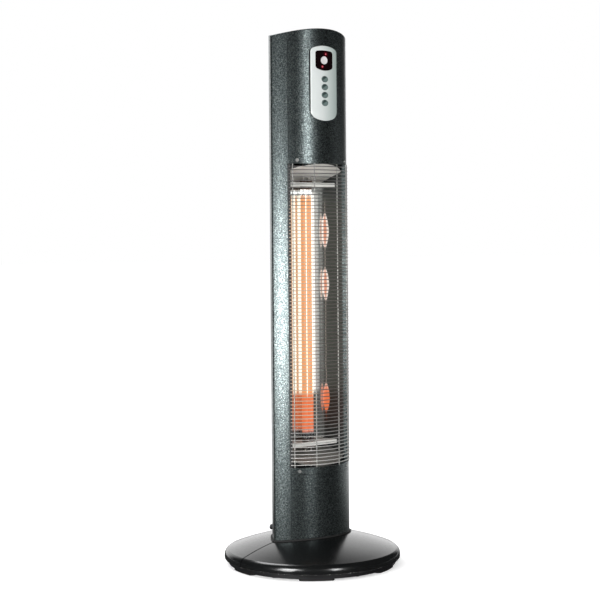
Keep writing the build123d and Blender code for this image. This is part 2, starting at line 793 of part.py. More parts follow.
high_seat_z = bracket_high_z + reflector_sheet
low_seat_z = bracket_low_z - reflector_sheet


# Ceramic ends that the tubes push into, beyond the brackets, with collars through them
collar_reach = reflector_sheet + lamp_collar_l
with BuildPart() as lamp_caps:
    for seat_z, up in ((low_seat_z, -1), (high_seat_z, 1)):
        for radius, start, end, mode in ((lamp_cap_r, 0, lamp_cap_l, Mode.ADD),
                                         (lamp_collar_r, -collar_reach, 0, Mode.ADD),
                                         (tube_r + fit, -collar_reach, lamp_socket_l, Mode.SUBTRACT),
                                         (lead_r + fit, 0, lamp_cap_l, Mode.SUBTRACT)):
            with BuildSketch(Plane.XY.offset(seat_z + up * start)):
                with Locations(*lamp_places):
                    Circle(radius)
            extrude(amount=up * (end - start), mode=mode)
save(lamp_caps, "lamp_caps")

tube_low_z = low_seat_z - lamp_socket_l
tube_high_z = high_seat_z + lamp_socket_l

with BuildPart() as quartz_tubes:
    with BuildSketch(Plane.XY.offset(tube_low_z)):
        with Locations(*lamp_places):
            Circle(tube_r)
            Circle(tube_r - tube_wall, mode=Mode.SUBTRACT)
    extrude(amount=tube_high_z - tube_low_z)
save(quartz_tubes, "quartz_tubes")

# Flat carbon strips with a stud at each end and a stiff wire out to the cap
with BuildPart() as filaments:
    with BuildSketch(Plane.XY.offset(hot_low_z)):
        with Locations(*lamp_places):
            Rectangle(filament_w, filament_t)
    extrude(amount=hot_high_z - hot_low_z)
    for z, up in ((hot_low_z, -1), (hot_high_z, 1)):
        with BuildSketch(Plane.XY.offset(z)):
            with Locations(*lamp_places):
                Circle(filament_w / 2)
        extrude(amount=up * filament_w)
    for low_z, high_z in ((tube_low_z, hot_low_z), (hot_high_z, tube_high_z)):
        with BuildSketch(Plane.XY.offset(low_z)):
            with Locations(*lamp_places):
                Circle(filament_t)
        extrude(amount=high_z - low_z)
save(filaments, "filaments")

# Insulated leads, up to the power board and down to the terminal block
with BuildPart() as lamp_leads:
    for low_z, high_z in ((block_top_z, tube_low_z), (tube_high_z, power_board_z)):
        with BuildSketch(Plane.XY.offset(low_z)):
            with Locations(*lamp_places):
                Circle(lead_r)
        extrude(amount=high_z - low_z)
save(lamp_leads, "lamp_leads")

with BuildPart() as thermal_cutout:
    with Locations(Plane(origin=(cutout_x, back_wall_y + reflector_sheet, opening_high_z - cutout_drop),
                         z_dir=(0, 1, 0))):
        Cylinder(cutout_r, cutout_h, align=(Align.CENTER, Align.CENTER, Align.MIN))
        Box(cutout_ears, cutout_r, reflector_sheet, align=(Align.CENTER, Align.CENTER, Align.MIN))
        with GridLocations(cutout_r, 0, 2, 1):
            Box(*cutout_tab, cutout_tab_l, align=(Align.CENTER, Align.CENTER, Align.MIN))
save(thermal_cutout, "thermal_cutout")

# ================================================================ control panel
def bowed_outline(half_w, low_z, high_z, low_bow, high_bow, low_round, high_round):
    """Front view of a plate on the control panel, bowed at its top and its bottom."""
    left = panel_x - half_w
    right = panel_x + half_w
    with BuildLine() as outline:
        top = ThreePointArc((left, high_z - high_bow), (panel_x, high_z), (right, high_z - high_bow))
        side = Line(top @ 1, (right, low_z + low_bow))
        low = ThreePointArc(side @ 1, (panel_x, low_z), (left, low_z + low_bow))
        Line(low @ 1, top @ 0)
    make_face(outline.edges())
    fillet(vertices().sort_by(Axis.Y)[:2], low_round)
    fillet(vertices().sort_by(Axis.Y)[-2:], high_round)


def window_outline(grow):
    """Front view of the dark window, grown all round."""
    bowed_outline(window_half_w + grow, window_low_z - grow, window_top_z + grow,
                  window_tail, window_bow, window_round + grow, window_round + grow)


with BuildPart() as fascia:
    with BuildSketch(Plane.XZ):
        bowed_outline(fascia_half_w, fascia_low_z, fascia_top_z, fascia_tail, fascia_bow,
                      fascia_low_round, fascia_top_round)
    extrude(amount=roomy)
    with Locations((panel_x, fascia_front_y + fascia_face_r, total_h / 2)):
        Cylinder(fascia_face_r, total_h, mode=Mode.INTERSECT)
    with Locations((0, front_y, total_h / 2)):
        Cylinder(fascia_in, total_h, mode=Mode.SUBTRACT)
    chamfer(faces().sort_by(Axis.Y)[0].edges(), fascia_edge)
    with BuildSketch(Plane.XZ):
        window_outline(0)
    extrude(amount=roomy, mode=Mode.SUBTRACT)
    chamfer([edge for edge in faces().sort_by(Axis.Y)[0].edges()
             if abs(edge.center().X - panel_x) < window_half_w + window_edge
             and window_low_z - window_edge < edge.center().Z < window_top_z + window_edge], window_edge)
    with BuildSketch(Plane.XZ):
        with Locations(*[(panel_x, z) for z in key_zs]):
            Ellipse(key_w / 2 + gap, key_h / 2 + gap)
    extrude(amount=roomy, mode=Mode.SUBTRACT)
save(fascia, "fascia")

# Smoked pane behind the fascia, in the panel's hole
with BuildPart() as window:
    with BuildSketch(Plane.XZ):
        window_outline(window_flange)
    extrude(amount=roomy)
    with Locations((0, front_y, total_h / 2)):
        Cylinder(front_r, total_h, mode=Mode.INTERSECT)
        Cylinder(window_in, total_h, mode=Mode.SUBTRACT)
    with BuildSketch(Plane.XZ):
        with Locations((panel_x, power_z)):
            Circle(power_r + gap)
        with Locations(*light_centres):
            Circle(light_r + fit)
    extrude(amount=roomy, mode=Mode.SUBTRACT)
save(window, "window")


def push_button(z, half_w, half_h, wall_r, button_front_y):
    """A button with a flange that keeps it behind a curved wall, and a stem."""
    flange_x = abs(panel_x) + half_w + button_flange
    flange_y = front_y - sqrt(wall_r**2 - flange_x**2) + gap
    with BuildPart() as button:
        with BuildSketch(Plane.XZ.offset(-flange_y)):
            with Locations((panel_x, z)):
                Ellipse(half_w, half_h)
        extrude(amount=flange_y - button_front_y)
        fillet(faces().sort_by(Axis.Y)[0].edges(), gap)
        with BuildSketch(Plane.XZ.offset(-flange_y)):
            with Locations((panel_x, z)):
                Ellipse(half_w + button_flange, half_h + button_flange)
        extrude(amount=-button_flange_t)
        with BuildSketch(Plane.XZ.offset(-flange_y)):
            with Locations((panel_x, z)):
                Circle(stem_r)
        extrude(amount=-(stem_y - flange_y))
        with Locations((panel_x, button_front_y + dish_depth - dish_r, z)):
            Sphere(dish_r, mode=Mode.SUBTRACT)
    return button


save(push_button(power_z, power_r, power_r, window_in, power_front_y), "power_button")
for number, z in enumerate(key_zs, start=1):
    save(push_button(z, key_w / 2, key_h / 2, fascia_in, key_front_y), f"key_{number}")

with BuildPart() as light_pipes:
    with BuildSketch(Plane.XZ.offset(-board_y)):
        with Locations(*light_centres):
            Circle(light_r)
    extrude(amount=board_y - front_y + front_r)
save(light_pipes, "light_pipes")

with BuildPart() as control_board:
    with Locations((panel_x, board_y, (board_low_z + board_high_z) / 2)):
        Box(2 * board_half_w, board_t, board_high_z - board_low_z,
            align=(Align.CENTER, Align.MIN, Align.CENTER))
save(control_board, "control_board")

post_x = (panel_hole_half_w + board_half_w) / 2
with BuildPart() as board_posts:
    with BuildSketch(Plane.XZ.offset(-board_y)):
        with Locations(*[(panel_x + side * post_x, z) for side in (-1, 1)
                         for z in (board_low_z + 2 * post_r, board_high_z - 2 * post_r)]):
            Circle(post_r)
    extrude(amount=roomy)
    with Locations((0, front_y, total_h / 2)):
        Cylinder(sheet_in - fit, total_h, mode=Mode.INTERSECT)
save(board_posts, "board_posts")

with BuildPart() as switches:
    for z in (power_z, *key_zs):
        with Locations((panel_x, board_y, z)):
            Box(switch_w, switch_d, switch_w, align=(Align.CENTER, Align.MAX, Align.CENTER))
        with BuildSketch(Plane.XZ.offset(-board_y)):
            with Locations((panel_x, z)):
                Circle(actuator_r)
        extrude(amount=switch_d + actuator_l)
save(switches, "switches")

# ================================================================ inside the column
loom_hole_r = loom_r + gap
for label, low_z in (("upper_baffle", upper_baffle_z), ("lower_baffle", lower_baffle_z)):
    with BuildPart() as baffle:
        add(inside_plate(low_z, baffle_t).part)
        with BuildSketch(Plane.XY.offset(low_z)):
            with Locations(*lamp_places):
                Circle(lead_r + gap)
            with Locations((0, loom_y)):
                Circle(loom_hole_r)
        extrude(amount=baffle_t, mode=Mode.SUBTRACT)
    save(baffle, label)

power_board_mid_y = sum(power_board_y) / 2
power_board_d = power_board_y[1] - power_board_y[0]
board_top_z = power_board_z + board_t

with BuildPart() as power_board:
    with Locations((0, power_board_mid_y, power_board_z)):
        Box(2 * power_board_half_w, power_board_d, board_t,
            align=(Align.CENTER, Align.CENTER, Align.MIN))
save(power_board, "power_board")

with BuildPart() as power_board_posts:
    with BuildSketch(Plane.XY.offset(upper_baffle_z + baffle_t)):
        with Locations((0, power_board_mid_y)):
            with GridLocations(2 * (power_board_half_w - 2 * post_r), power_board_d - 4 * post_r, 2, 2):
                Circle(post_r)
    extrude(amount=power_post_h)
save(power_board_posts, "power_board_posts")

with BuildPart() as relays:
    with Locations((-relay_x, relay_y, board_top_z), (relay_x, relay_y, board_top_z)):
        Box(*relay_size, align=(Align.CENTER, Align.CENTER, Align.MIN))
save(relays, "relays")

with BuildPart() as transformer:
    with Locations((0, transformer_y, board_top_z)):
        Box(*core_size, align=(Align.CENTER, Align.CENTER, Align.MIN))
        Box(*coil_size, align=(Align.CENTER, Align.CENTER, Align.MIN))
save(transformer, "transformer")

with BuildPart() as terminal_block:
    with Locations((0, block_y, plate_top_z)):
        Box(*block_size, align=(Align.CENTER, Align.CENTER, Align.MIN))
    with Locations(Plane.XY.offset(block_top_z)):
        with Locations((0, block_y)):
            with GridLocations(block_pitch, block_rows, block_poles, 2):
                Hole(lead_r, block_size[2] / 2)
save(terminal_block, "terminal_block")

loom_low_z = plate_top_z + block_size[2] / 2
with BuildPart() as loom:
    with BuildLine() as loom_path:
        FilletPolyline((0, block_y + block_size[1] / 2, loom_low_z), (0, loom_y, loom_low_z),
                       (0, loom_y, power_board_z), radius=loom_bend)
    with BuildSketch(Plane(origin=loom_path.line @ 0, z_dir=loom_path.line % 0)):
        Circle(loom_r)
    sweep()
save(loom, "loom")

reflector_back_y = back_wall_y + reflector_sheet
with BuildPart() as loom_clips:
    for rise in clip_rises:
        with BuildSketch(Plane.XY.offset(opening_low_z + rise)):
            with Locations((0, loom_y)):
                Circle(loom_r + fit + clip_wall)
            with Locations((0, reflector_back_y)):
                Rectangle(2 * loom_r, loom_y - reflector_back_y, align=(Align.CENTER, Align.MIN))
            with Locations((0, loom_y)):
                Circle(loom_r + fit, mode=Mode.SUBTRACT)
        extrude(amount=clip_h)
save(loom_clips, "loom_clips")

board_back_y = board_y + board_t
with BuildPart() as ribbon:
    with BuildLine() as ribbon_path:
        FilletPolyline((panel_x, board_back_y + ribbon_t / 2, key_zs[2]),
                       (panel_x, board_back_y + ribbon_t / 2, upper_baffle_z + ribbon_leave_h),
                       (panel_x, power_board_y[0] - loom_bend, board_top_z + ribbon_t / 2),
                       (panel_x, power_board_y[0] + loom_bend, board_top_z + ribbon_t / 2),
                       radius=loom_bend)
    with BuildSketch(Plane(origin=ribbon_path.line @ 0, x_dir=(1, 0, 0), z_dir=ribbon_path.line % 0)):
        Rectangle(ribbon_w, ribbon_t)
    sweep()
save(ribbon, "ribbon")

# ================================================================ tip-over switch
tilt_pin_z = plate_top_z + tilt_h - 2 * tilt_eye_r

with BuildPart() as tilt_housing:
    with Locations((tilt_x, tilt_y, plate_top_z)):
        Box(tilt_w, tilt_d, tilt_h, align=(Align.CENTER, Align.CENTER, Align.MIN))
    with Locations((tilt_x, tilt_y, plate_top_z + tilt_wall)):
        Box(tilt_w - 2 * tilt_wall, tilt_d - 2 * tilt_wall, tilt_h, mode=Mode.SUBTRACT,
            align=(Align.CENTER, Align.CENTER, Align.MIN))
    with Locations(Plane(origin=(tilt_x, tilt_y, tilt_pin_z), z_dir=(0, 1, 0))):
        Cylinder(tilt_pin_r, 2 * tilt_d, mode=Mode.SUBTRACT)
save(tilt_housing, "tilt_housing")

with BuildPart() as tilt_pin:
    with Locations(Plane(origin=(tilt_x, tilt_y, tilt_pin_z), z_dir=(0, 1, 0))):
        Cylinder(tilt_pin_r, tilt_d)
save(tilt_pin, "tilt_pin")

with BuildPart() as tilt_pendulum:
    with Locations(Plane(origin=(tilt_x, tilt_y, tilt_pin_z), z_dir=(0, 1, 0))):
        Cylinder(tilt_eye_r, tilt_bob_l)
    with Locations((tilt_x, tilt_y, tilt_pin_z)):
        Box(tilt_pin_r, tilt_bob_l / 2, tilt_arm, align=(Align.CENTER, Align.CENTER, Align.MAX))
    with Locations(Plane(origin=(tilt_x, tilt_y, tilt_pin_z - tilt_arm), z_dir=(0, 1, 0))):
        Cylinder(tilt_bob_r, tilt_bob_l)
    with Locations(Plane(origin=(tilt_x, tilt_y, tilt_pin_z), z_dir=(0, 1, 0))):
        Cylinder(tilt_pin_r + fit, 2 * tilt_d, mode=Mode.SUBTRACT)
save(tilt_pendulum, "tilt_pendulum")

# ================================================================ cable entry
with BuildPart() as cable_gland:
    with Locations(back_plane(gland_z, gland_turn)):
        Cylinder(gland_flange_r, gland_flange_t, align=(Align.CENTER, Align.CENTER, Align.MIN))
        Cone(gland_neck_r, gland_tip_r, gland_boot_l, align=(Align.CENTER, Align.CENTER, Align.MIN))
        Cylinder(gland_neck_r, gland_neck_l, align=(Align.CENTER, Align.CENTER, Align.MAX))
    for n in range(1, gland_ribs + 1):
        with Locations(back_plane(gland_z, gland_turn, -n * gland_boot_l / (gland_ribs + 1))):
            Cylinder(gland_neck_r, gland_flange_t, align=(Align.CENTER, Align.CENTER, Align.MIN))
    with Locations(back_plane(gland_z, gland_turn)):
        Cylinder(gland_bore_r, 2 * drill_l, mode=Mode.SUBTRACT)
save(cable_gland, "cable_gland")

nut_inset = back_r - sqrt((back_r - skin) ** 2 - gland_nut_r**2) + fit
with BuildPart() as gland_nut:
    with BuildSketch(back_plane(gland_z, gland_turn, nut_inset)):
        RegularPolygon(gland_nut_r, 6)
        Circle(gland_neck_r, mode=Mode.SUBTRACT)
    extrude(amount=-gland_nut_t)
save(gland_nut, "gland_nut")

mains_start = back_plane(gland_z, gland_turn, gland_neck_l).origin
mains_turn = back_plane(gland_z, gland_turn, mains_straight).origin
block_side_x = -block_size[0] / 2
with BuildPart() as mains_lead:
    with BuildLine() as mains_path:
        FilletPolyline(mains_start, mains_turn, (block_side_x - mains_end_l, block_y, loom_low_z),
                       (block_side_x, block_y, loom_low_z), radius=mains_bend)
    with BuildSketch(Plane(origin=mains_path.line @ 0, z_dir=mains_path.line % 0)):
        Circle(mains_r)
    sweep()
save(mains_lead, "mains_lead")
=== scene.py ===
import math

import bpy
from mathutils import Matrix, Vector

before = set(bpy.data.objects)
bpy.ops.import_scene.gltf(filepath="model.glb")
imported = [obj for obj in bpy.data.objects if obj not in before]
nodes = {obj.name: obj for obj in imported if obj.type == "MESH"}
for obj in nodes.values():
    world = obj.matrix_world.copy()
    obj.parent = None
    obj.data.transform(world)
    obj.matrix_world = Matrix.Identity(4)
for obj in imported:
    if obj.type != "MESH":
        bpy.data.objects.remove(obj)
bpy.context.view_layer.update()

# Where the materials change, in metres, in the CAD frame
TRAY_LIP = (0.0105, 0.0122)           # height at which the chipped lip begins
REFLECTOR_RIGHT = (0.0490, 0.0500)    # x of the reflector's right wall
REFLECTOR_SIDES = (0.0496, 0.0502)    # distance of both side walls from the middle
REFLECTOR_BACK = (0.0240, 0.0250)     # y of its back wall
SPINDLE_Y = 0.0205                    # middle of the chain of spindles on the right wall
# Height, half length and width of each spindle
SPINDLES = ((0.600, 0.036, 0.0085), (0.502, 0.034, 0.0080), (0.293, 0.030, 0.0075))
SPINDLE_THREAD = 0.0009               # width of the thin line between them
LAMP_X = 0.0065                       # distance of each lamp from the middle
LAMP_Y = 0.010
LAMP_RADIUS = 0.0052
LAMP_HIGHLIGHT_SIDE = (0.857, 0.514)        # direction, in plan, of the side of the lamps that carries a painted white highlight
LAMP_LOWER_END = (0.296, 0.312)        # height below which the painted highlight stops and the glow turns redder
# x, z, reach and strength of the painted red glow round each red light
WINDOW_LIGHTS = ((-0.0002, 0.9144, 0.0080, 0.14), (-0.0076, 0.8917, 0.0048, 0.40))

# Levels of the room, with white at 1. Mirrors and glass should see the white background that the camera sees,
# but they don't: they see WORLD_FRONT, WORLD_BACK and WORLD_LEFT, and the coat's colours are tuned to those.
FLOOR_LIFT = 0.46                     # brings the pale floor up to white for the camera
WORLD_DIFFUSE = 0.70                  # the world's light on the object
WORLD_FRONT = 0.035                   # in mirrors, everywhere
WORLD_BACK = 1.5                      # in mirrors, added behind the tower
WORLD_BACK_AZIMUTH = 152.0
WORLD_CEILING = 0.10                  # share of WORLD_BACK that is left overhead
WORLD_LEFT = 0.45                     # in mirrors, added to the left
WORLD_LEFT_AZIMUTH = -68.0

# Camera, fitted to the photograph, in metres and degrees
TOWER_Y = 0.045                       # y of the tower's axis, which the camera and the lamps turn round
CAMERA_AZIMUTH = -37.5
CAMERA_HEIGHT = 0.587
CAMERA_DISTANCE = 2.708
CAMERA_ASIDE = 0.0088
CAMERA_ROLL = -0.47
IMAGE_SIDE = 600.0
FOCAL_PIXELS = 1476.0
HORIZON_PIXELS = -62.0                # how far the horizon is shifted in the picture
ASIDE_SHIFT = 0.00085                 # in widths of the picture
SENSOR = 36.0


# ---------------------------------------------------------------- node helpers
class Graph:
    """A node tree written a line at a time; `place` is where a point lies."""

    def __init__(self, tree, place):
        self.tree = tree
        tree.nodes.clear()
        self.place = self.node("ShaderNodeTexCoord").outputs[place]

    def node(self, kind, **options):
        node = self.tree.nodes.new(kind)
        for key, value in options.items():
            setattr(node, key, value)
        return node

    def feed(self, socket, value):
        """Link a socket, or set a number or a colour."""
        if isinstance(value, bpy.types.NodeSocket):
            self.tree.links.new(value, socket)
        elif isinstance(value, tuple) and socket.type == "RGBA":
            socket.default_value = (*value, 1.0)
        else:
            socket.default_value = value

    def noise(self, scale, detail=2.0, roughness=0.5, stretch=None):
        node = self.node("ShaderNodeTexNoise")
        node.inputs["Scale"].default_value = scale
        node.inputs["Detail"].default_value = detail
        node.inputs["Roughness"].default_value = roughness
        where = self.place
        if stretch:
            mapping = self.node("ShaderNodeMapping")
            mapping.inputs["Scale"].default_value = stretch
            self.feed(mapping.inputs["Vector"], where)
            where = mapping.outputs[0]
        self.feed(node.inputs["Vector"], where)
        return node.outputs[0]

    def ramp(self, source, *stops):
        """A colour or a grey level that changes evenly between stops, each a position and a value."""
        node = self.node("ShaderNodeValToRGB")
        elements = node.color_ramp.elements
        elements[0].position, elements[1].position = stops[0][0], stops[-1][0]
        for at, _ in stops[1:-1]:
            elements.new(at)
        for element, (_, colour) in zip(elements, stops):
            element.color = (*(colour if isinstance(colour, tuple) else (colour,) * 3), 1.0)
        self.feed(node.inputs[0], source)
        return node.outputs[0]

    def math(self, operation, *values):
        node = self.node("ShaderNodeMath", operation=operation)
        for socket, value in zip(node.inputs, values):
            self.feed(socket, value)
        return node.outputs[0]

    def total(self, *values):
        result = values[0]
        for value in values[1:]:
            result = self.math("ADD", result, value)
        return result

    def product(self, *values):
        result = values[0]
        for value in values[1:]:
            result = self.math("MULTIPLY", result, value)
        return result

    def step(self, value, low, high, to_low=0.0, to_high=1.0):
        """A smooth change from one value to another between two limits."""
        node = self.node("ShaderNodeMapRange", interpolation_type="SMOOTHSTEP")
        for name, number in (("From Min", low), ("From Max", high), ("To Min", to_low), ("To Max", to_high)):
            node.inputs[name].default_value = number
        self.feed(node.inputs["Value"], value)
        return node.outputs[0]

    def mix(self, share, a, b, blend="MIX"):
        node = self.node("ShaderNodeMix", data_type="RGBA", blend_type=blend)
        for socket, value in ((node.inputs[0], share), (node.inputs[6], a), (node.inputs[7], b)):
            self.feed(socket, value)
        return node.outputs[2]

    def mix_number(self, share, a, b):
        node = self.node("ShaderNodeMix", data_type="FLOAT")
        for socket, value in ((node.inputs[0], share), (node.inputs[2], a), (node.inputs[3], b)):
            self.feed(socket, value)
        return node.outputs[0]

    def axis(self, letter):
        node = self.node("ShaderNodeSeparateXYZ")
        self.feed(node.inputs[0], self.place)
        return node.outputs[letter]

    def dot(self, vector, direction):
        node = self.node("ShaderNodeVectorMath", operation="DOT_PRODUCT")
        self.feed(node.inputs[0], vector)
        node.inputs[1].default_value = direction
        return node.outputs["Value"]

    def along(self, direction):
        """How far a point lies in a direction."""
        return self.dot(self.place, direction)

    def facing(self, direction):
        """How far a surface is turned towards a direction, 1 for straight to it."""
        return self.dot(self.node("ShaderNodeNewGeometry").outputs["Normal"], direction)


class Paint(Graph):
    """A material with a Principled shader."""

    def __init__(self, name):
        self.mat = bpy.data.materials.new(name)
        self.mat.use_nodes = True
        super().__init__(self.mat.node_tree, "Object")
        self.bsdf = self.node("ShaderNodeBsdfPrincipled")
        self.out = self.node("ShaderNodeOutputMaterial")
        self.feed(self.out.inputs[0], self.bsdf.outputs[0])

    def set(self, **values):
        for key, value in values.items():
            self.feed(self.bsdf.inputs[key.replace("_", " ")], value)

    def bump(self, height, strength, distance, under=None):
        node = self.node("ShaderNodeBump")
        node.inputs["Strength"].default_value = strength
        node.inputs["Distance"].default_value = distance
        self.feed(node.inputs["Height"], height)
        if under is not None:
            self.feed(node.inputs["Normal"], under)
        self.feed(self.bsdf.inputs["Normal"], node.outputs[0])
        return node.outputs[0]


def dress(paint, *names):
    """Give these CAD nodes the material."""
    for name in names:
        mesh = nodes[name].data
        mesh.materials.clear()
        mesh.materials.append(paint.mat)


# ---------------------------------------------------------------- materials
def powder_coat():
    """Dark textured coat with fine bright flakes."""
    p = Paint("powder_coat")
    grain = p.noise(420.0, 3.0, 0.65)
    fine = p.noise(1200.0, 2.0, 0.6)
    cloud = p.noise(9.0, 2.0, 0.5)
    flake = p.product(p.ramp(fine, (0.55, 0.0), (0.66, 1.0)), p.ramp(grain, (0.46, 0.0), (0.60, 1.0)))
    tone = p.ramp(grain, (0.34, (0.036, 0.044, 0.046)), (0.50, (0.082, 0.098, 0.099)),
                  (0.60, (0.128, 0.152, 0.151)), (0.72, (0.200, 0.232, 0.230)))
    p.set(Base_Color=p.mix(flake, tone, (0.45, 0.51, 0.50)), Metallic=0.95,
          Roughness=p.total(p.ramp(grain, (0.3, 0.34), (0.7, 0.25)), p.ramp(cloud, (0.3, 0.0), (0.7, 0.03))))
    under = p.bump(grain, 0.48, 0.00026)
    p.bump(fine, 0.30, 0.00008, under)
    return p


def base_cover():
    """Black lacquer with a satin sheen and a faint orange peel."""
    p = Paint("base_cover")
    peel = p.noise(320.0, 3.0, 0.6)
    cloud = p.noise(14.0, 3.0, 0.5)
    p.set(Base_Color=p.ramp(cloud, (0.3, (0.0030, 0.0034, 0.0036)), (0.7, (0.0050, 0.0056, 0.0058))),
          Metallic=0.2, Roughness=p.ramp(peel, (0.35, 0.25), (0.65, 0.18)), Specular_IOR_Level=1.0)
    p.bump(peel, 0.12, 0.0001)
    return p


def tray_paint():
    """Black paint, chipped along the tray's lip."""
    p = Paint("tray_paint")
    chips = p.noise(520.0, 3.0, 0.7)
    worn = p.product(p.ramp(chips, (0.60, 0.0), (0.66, 1.0)), p.step(p.axis("Z"), *TRAY_LIP))
    p.set(Base_Color=p.mix(worn, (0.006, 0.006, 0.007), (0.45, 0.45, 0.43)),
          Roughness=p.ramp(chips, (0.3, 0.55), (0.7, 0.42)))
    p.bump(chips, 0.2, 0.0002)
    return p


def plain(name, dark, light, rough, grain=400.0, bump=0.15, depth=0.0001, metal=0.0):
    """A moulded, cast or painted finish with a fine grain and a slight change of tone."""
    p = Paint(name)
    cloud = p.noise(30.0, 3.0, 0.55)
    fine = p.noise(grain, 3.0, 0.6)
    p.set(Base_Color=p.mix(p.math("MULTIPLY_ADD", fine, 0.35, p.math("MULTIPLY", cloud, 0.65)), dark, light),
          Roughness=p.ramp(fine, (0.3, rough + 0.06), (0.7, max(rough - 0.06, 0.02))), Metallic=metal)
    p.bump(fine, bump, depth)
    return p


def brushed(name, dark, light, rough, stretch):
    """Bare metal with fine draw lines along one axis."""
    p = Paint(name)
    lines = p.noise(1.0, 3.0, 0.7, stretch)
    p.set(Base_Color=p.mix(lines, dark, light), Metallic=1.0,
          Roughness=p.ramp(lines, (0.3, rough + 0.08), (0.7, max(rough - 0.05, 0.02))))
    p.bump(lines, 0.1, 0.00005)
    return p


def guard_wire():
    """Cross wires: pale at the guard's foot, grey above it, with a painted glow where they pass the lamps."""
    p = Paint("bright_wire")
    fine = p.noise(900.0, 3.0, 0.6)
    x, z = p.axis("X"), p.axis("Z")
    grey = p.step(z, 0.17, 0.30, 0.62, 0.13)
    lit = p.product(p.step(z, 0.24, 0.28), p.step(z, 0.62, 0.66, 1.0, 0.0),
                    p.step(x, -0.036, -0.020, 0.42, 0.02))
    p.set(Base_Color=p.mix(grey, (0.0, 0.0, 0.0), (1.0, 1.0, 0.97)), Metallic=0.45,
          Roughness=p.ramp(fine, (0.3, 0.38), (0.7, 0.26)),
          Emission_Color=(1.0, 0.68, 0.44), Emission_Strength=lit)
    p.bump(fine, 0.1, 0.00005)
    return p


def reflector_sheet():
    """Polished thin sheet with a film of dust, and rougher side walls with a painted shade, far darker than
    the back wall.

    Two reflections of the lamps are painted as light: a chain of spindles on the right wall, and a lit band
    on the back wall."""
    p = Paint("reflector_sheet")
    x, y, z = p.axis("X"), p.axis("Y"), p.axis("Z")
    ripple = p.noise(1.0, 2.0, 0.5, (9.0, 9.0, 60.0))
    dust = p.noise(220.0, 4.0, 0.6)
    waver = p.noise(1.0, 2.0, 0.5, (20.0, 20.0, 45.0))
    right = p.step(x, *REFLECTOR_RIGHT)

    across = p.math("ABSOLUTE", p.total(y, -SPINDLE_Y, p.product(p.math("SUBTRACT", waver, 0.5), 0.004)))
    width = SPINDLE_THREAD
    for centre, half, widest in SPINDLES:
        off = p.math("DIVIDE", p.math("SUBTRACT", z, centre), half)
        width = p.math("MAXIMUM", width, p.product(p.math("SUBTRACT", 1.0, p.product(off, off)), widest))
    spindle = p.step(p.math("SUBTRACT", width, across), -0.0006, 0.0010)
    core = p.step(p.math("SUBTRACT", p.product(width, 0.50), across), -0.0005, 0.0022)
    line = p.step(width, SPINDLE_THREAD, 0.0040, 0.30, 0.85)
    heated = p.product(p.step(z, 0.245, 0.275), p.step(z, 0.640, 0.665, 1.0, 0.0))
    chain = p.product(spindle, line, right, heated)
    hot = p.mix(p.step(z, 0.300, 0.330), (0.90, 0.20, 0.07),
                p.mix(core, (1.0, 0.86, 0.78), (0.80, 0.29, 0.15)))

    back = p.product(p.step(y, *REFLECTOR_BACK), p.step(z, 0.300, 0.312), p.step(z, 0.660, 0.678, 1.0, 0.0))
    band = p.ramp(p.product(x, 20.0), (0.46, 0.0), (0.50, 0.95), (0.655, 0.95), (0.70, 0.32), (0.78, 0.26),
                  (0.84, 0.0))

    side = p.step(p.math("ABSOLUTE", x), *REFLECTOR_SIDES)
    sheen = p.mix(dust, (0.60, 0.61, 0.59), (0.78, 0.79, 0.76))
    # Painted shade: the side walls are given a far darker colour than the rest of the same sheet.
    side_wall_shade = p.mix(dust, (0.045, 0.050, 0.048), (0.085, 0.090, 0.088))
    p.set(Base_Color=p.mix(side, sheen, side_wall_shade), Metallic=0.92,
          Roughness=p.math("MULTIPLY_ADD", side, 0.36, p.ramp(dust, (0.3, 0.05), (0.7, 0.11))),
          Emission_Color=p.mix(right, (1.0, 0.96, 0.91), hot),
          Emission_Strength=p.total(chain, p.product(back, band)))
    p.bump(ripple, 0.05, 0.0010)
    return p


def glow(name, low_z, high_z, edge, warm, hot, strength):
    """A strip that glows between two heights."""
    p = Paint(name)
    z = p.axis("Z")
    lit = p.product(p.step(z, low_z, low_z + edge), p.step(z, high_z - edge, high_z, 1.0, 0.0))
    weave = p.noise(1.0, 2.0, 0.5, (700.0, 700.0, 160.0))
    p.set(Emission_Color=p.mix(weave, warm, hot), Emission_Strength=p.math("MULTIPLY", lit, strength),
          Base_Color=(0.03, 0.02, 0.015), Roughness=0.6)
    return p


def quartz():
    """Tubes that are clear at their ends, and nearly opaque where they glow.

    They glow orange with a painted white highlight down one side, and redder at the lower end, where the
    highlight stops."""
    p = Paint("quartz")
    x, y, z = p.axis("X"), p.axis("Y"), p.axis("Z")
    aside = p.math("SUBTRACT", x, p.math("MULTIPLY", p.math("SIGN", x), LAMP_X))
    back = p.math("SUBTRACT", y, LAMP_Y)
    turned = p.math("ADD", p.math("MULTIPLY", aside, LAMP_HIGHLIGHT_SIDE[0] / LAMP_RADIUS),
                    p.math("MULTIPLY", back, LAMP_HIGHLIGHT_SIDE[1] / LAMP_RADIUS))
    upper = p.step(z, *LAMP_LOWER_END)
    # Painted highlight: a white strip down one side of each tube, above the lower end.
    white = p.product(p.step(turned, -0.50, -0.15), upper)
    lit = p.product(p.step(z, 0.232, 0.244), p.step(z, 0.656, 0.668, 1.0, 0.0))
    haze = p.noise(260.0, 3.0, 0.6)
    warm = p.mix(upper, (0.78, 0.17, 0.06), (0.84, 0.36, 0.15))
    end = p.product(p.step(z, 0.6640, 0.6665), p.step(z, 0.6735, 0.6755, 1.0, 0.0))
    p.set(Base_Color=p.mix(lit, (0.93, 0.96, 1.0), (0.10, 0.06, 0.04)), IOR=1.46,
          Transmission_Weight=p.math("MULTIPLY_ADD", lit, -0.9, 1.0),
          Roughness=p.ramp(haze, (0.3, 0.03), (0.7, 0.09)),
          Emission_Color=p.mix(end, p.mix(white, warm, (2.0, 1.85, 1.55)), (0.80, 0.80, 0.78)),
          Emission_Strength=p.math("MAXIMUM", p.math("MULTIPLY", lit, 0.95), p.math("MULTIPLY", end, 0.5)))
    return p


